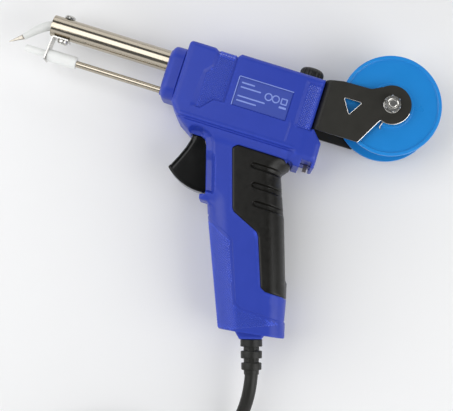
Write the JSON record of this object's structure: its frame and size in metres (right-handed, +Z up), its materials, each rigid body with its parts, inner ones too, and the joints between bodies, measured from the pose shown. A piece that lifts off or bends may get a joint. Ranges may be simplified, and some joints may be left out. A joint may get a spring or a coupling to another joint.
{
  "type": "soldering gun",
  "caption": "Pistol-grip soldering gun with a bent heated tip, trigger solder feed, solder reel on a fork bracket and a coiled mains cord.",
  "frame": {"origin": "on the surface it lies on, under the middle of the gun's own box, without cord, coil and plug", "axes": "+X back along the barrel from the tip to the reel, -Y down the grip, +Z up out of the label side; the gun lies on its right side"},
  "size_m": [0.2529, 0.3555, 0.044],
  "materials": {
    "housing_blue": "satin moulded plastic",
    "grip_rubber": "soft moulded rubber",
    "label_print": "recessed panel with plain printed lines",
    "polished_steel": "polished stainless tube",
    "zinc_steel": "zinc plated",
    "pin_steel": "ground steel",
    "tip_plating": "pale plated tip with a bare point",
    "white_ceramic": "smooth white",
    "white_nylon": "natural nylon",
    "trigger_black": "glossy moulded plastic",
    "brass": "turned brass",
    "bracket_black": "matte black sheet with bright cut edges",
    "knob_black": "knurled moulded plastic",
    "reel_blue": "smooth moulded plastic",
    "solder": "dull tin wire",
    "cord_black": "smooth cable jacket",
    "plug_black": "moulded plug",
    "plug_metal": "nickel plated brass"
  },
  "bodies": {
    "gun": {"left_housing": "housing_blue", "right_housing": "housing_blue", "nose_cap": "housing_blue", "left_grip_rubber": "grip_rubber", "right_grip_rubber": "grip_rubber", "label_plate": "label_print", "housing_screws": "zinc_steel", "barrel_tube": "polished_steel", "barrel_flange": "zinc_steel", "heater_core": "white_ceramic", "heater_leads": "white_nylon", "tip_holder": "zinc_steel", "soldering_tip": "tip_plating", "barrel_screws": "zinc_steel", "nozzle_bracket": "zinc_steel", "nozzle_sleeve": "white_ceramic", "nozzle_liner": "white_ceramic", "feed_tube": "polished_steel", "trigger_pin": "pin_steel", "trigger_spring": "pin_steel", "feed_axle": "pin_steel", "arm_pin": "pin_steel", "pressure_spring": "pin_steel", "guide_tube": "pin_steel", "inlet_bush": "brass", "terminal_block": "white_nylon", "cord_clamp": "white_nylon", "clamp_screws": "zinc_steel", "reel_bracket": "bracket_black", "stud_insert": "brass", "axle_bolt": "zinc_steel", "axle_nut": "zinc_steel", "axle_washers": "zinc_steel", "strain_relief": "cord_black", "power_cord": "cord_black", "cord_coil": "cord_black", "coil_tie": "cord_black", "plug_body": "plug_black", "plug_pins": "plug_metal"},
    "trigger": {"trigger": "trigger_black", "trigger_arm": "pin_steel"},
    "feed_lever": {"feed_lever": "pin_steel", "feed_pawl": "pin_steel"},
    "feed_wheel": {"ratchet_wheel": "pin_steel", "feed_roller": "pin_steel"},
    "pressure_arm": {"pressure_arm": "pin_steel", "roller_pin": "pin_steel"},
    "pressure_roller": {"pressure_roller": "brass"},
    "knob": {"bracket_knob": "knob_black", "knob_stud": "zinc_steel"},
    "reel": {"solder_reel": "reel_blue", "solder_winding": "solder"}
  },
  "joints": [
    {"name": "trigger_pull", "type": "hinge", "parent": "gun", "child": "trigger", "pos_m": [0.00665, 0.02143, 0.022], "axis": [0, 0, 1], "range_deg": [0, 18], "stiffness_Nm_per_rad": 0.15, "springref_deg": -20.05, "deforming": ["trigger_spring"]},
    {"name": "feed_lever_swing", "type": "hinge", "parent": "gun", "child": "feed_lever", "pos_m": [0.00905, 0.04933, 0.022], "axis": [0, 0, 1], "range_deg": [-26.7, 0]},
    {"name": "feed_wheel_turn", "type": "hinge", "parent": "gun", "child": "feed_wheel", "pos_m": [0.00905, 0.04933, 0.022], "axis": [0, 0, 1], "range_deg": [-26.7, 0]},
    {"name": "release_lever", "type": "hinge", "parent": "gun", "child": "pressure_arm", "pos_m": [0.03905, 0.03113, 0.022], "axis": [0, 0, 1], "range_deg": [0, 6], "stiffness_Nm_per_rad": 0.5, "springref_deg": -5.73, "deforming": ["pressure_spring"]},
    {"name": "pressure_roller_turn", "type": "hinge", "parent": "pressure_arm", "child": "pressure_roller", "pos_m": [0.00905, 0.03783, 0.022], "axis": [0, 0, 1], "range_deg": [0, 43.5]},
    {"name": "knob_turn", "type": "hinge", "parent": "gun", "child": "knob", "pos_m": [0.04905, 0.07613, 0.022], "axis": [0, 1, 0], "continuous": true},
    {"name": "reel_spin", "type": "hinge", "parent": "gun", "child": "reel", "pos_m": [0.09745, 0.07123, 0.022], "axis": [0, 0, 1], "continuous": true}
  ],
  "couplings": [
    {"joint": "feed_lever_swing", "follows": "trigger_pull", "ratio": -1.478},
    {"joint": "feed_wheel_turn", "follows": "trigger_pull", "ratio": -1.478},
    {"joint": "pressure_roller_turn", "follows": "trigger_pull", "ratio": 2.4017}
  ]
}
